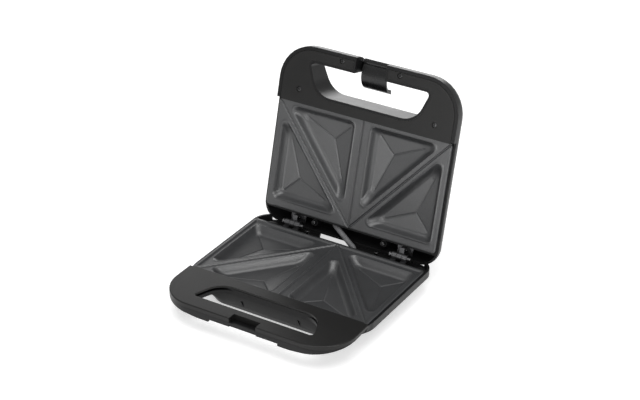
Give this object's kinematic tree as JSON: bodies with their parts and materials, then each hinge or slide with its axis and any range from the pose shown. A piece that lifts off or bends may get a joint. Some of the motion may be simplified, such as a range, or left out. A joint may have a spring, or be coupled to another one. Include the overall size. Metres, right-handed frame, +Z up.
{
  "type": "sandwich toaster",
  "caption": "Electric sandwich toaster standing open: a hinged lid and a base with moulded cooking plates that cut each filling into triangles, two grip handles and a swinging latch.",
  "frame": {"origin": "on the table, under the middle of the open toaster's bounding box", "axes": "+X to the right as seen from the handles, +Y from the handles towards the hinges, +Z up"},
  "size_m": [0.236, 0.2952, 0.2379],
  "materials": {
    "housing": "fine matte texture",
    "handle_cover": "satin",
    "cooking_plate": "non-stick coating, satin with a fine speckle",
    "latch": "satin",
    "heater": "dull",
    "heat_shield": "bright rolled sheet",
    "screw": "zinc plated",
    "pin": "polished",
    "hinge": "pressed sheet, zinc plated",
    "foot": "matte",
    "gland": "matte",
    "clamp": "matte",
    "sleeve": "braided glass fibre",
    "terminal": "matte",
    "thermostat": "glazed ceramic",
    "lens": "clear moulded",
    "lamp": "clear"
  },
  "bodies": {
    "base": {"lower_housing": "housing", "lower_handle_cover": "handle_cover", "lower_plate": "cooking_plate", "lower_heater": "heater", "lower_heat_shield": "heat_shield", "lower_shield_screws": "screw", "lower_plate_screws": "screw", "lower_cover_screws": "screw", "rubber_feet": "foot", "thermal_fuse": "thermostat", "terminal_block": "terminal", "cord_gland": "gland", "sleeve_clamp": "clamp", "wire_sleeve": "sleeve", "lower_hinge_left": "hinge", "lower_hinge_right": "hinge", "lower_hinge_screws": "screw", "hinge_pin_left": "pin", "hinge_pin_right": "pin"},
    "lid": {"upper_hinge_left": "hinge", "upper_hinge_right": "hinge", "upper_hinge_screws": "screw", "upper_housing": "housing", "upper_handle_cover": "handle_cover", "upper_plate": "cooking_plate", "upper_heater": "heater", "upper_heat_shield": "heat_shield", "upper_shield_screws": "screw", "upper_plate_screws": "screw", "upper_cover_screws": "screw", "thermostat": "thermostat", "indicator_lenses": "lens", "indicator_lamps": "lamp", "latch_pin": "pin"},
    "latch": {"latch": "latch"}
  },
  "joints": [
    {"name": "lid_hinge", "type": "hinge", "parent": "base", "child": "lid", "pos_m": [0, 0.06661, 0.0318], "axis": [1, 0, 0], "range_deg": [0, 105], "deforming": ["wire_sleeve"]},
    {"name": "latch_pivot", "type": "hinge", "parent": "lid", "child": "latch", "pos_m": [0, 0.13881, 0.22903], "axis": [-1, 0, 0], "range_deg": [0, 150]}
  ]
}
